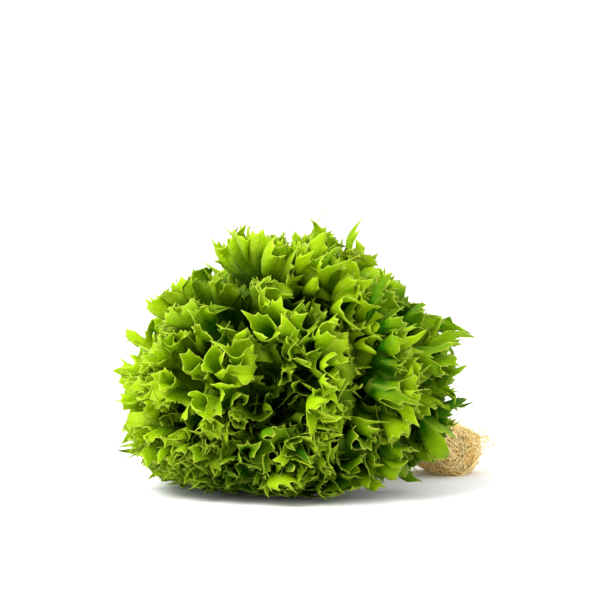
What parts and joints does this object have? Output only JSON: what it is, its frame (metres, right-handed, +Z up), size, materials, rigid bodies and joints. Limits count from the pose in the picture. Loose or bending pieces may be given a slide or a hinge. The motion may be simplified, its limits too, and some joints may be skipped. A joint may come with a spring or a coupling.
{
  "type": "lollo bionda lettuce",
  "caption": "Frilled loose-leaf lettuce head lying on its side, with a short pale stem and its matted roots still on.",
  "frame": {"origin": "middle of the whole plant's box at the surface that it lies on", "axes": "+Z up from that surface, +Y from the leaf tips to the roots, +X across the head"},
  "size_m": [0.2606, 0.3376, 0.2025],
  "materials": {
    "leaf": "fresh light green leaf, satin, paler towards its frilled margin",
    "stem": "pale cream-green stump, satin",
    "root": "straw-coloured root fibre, matt"
  },
  "bodies": {
    "root": {"leaf_head": "leaf", "stem": "stem", "root_ball": "root"}
  },
  "joints": []
}
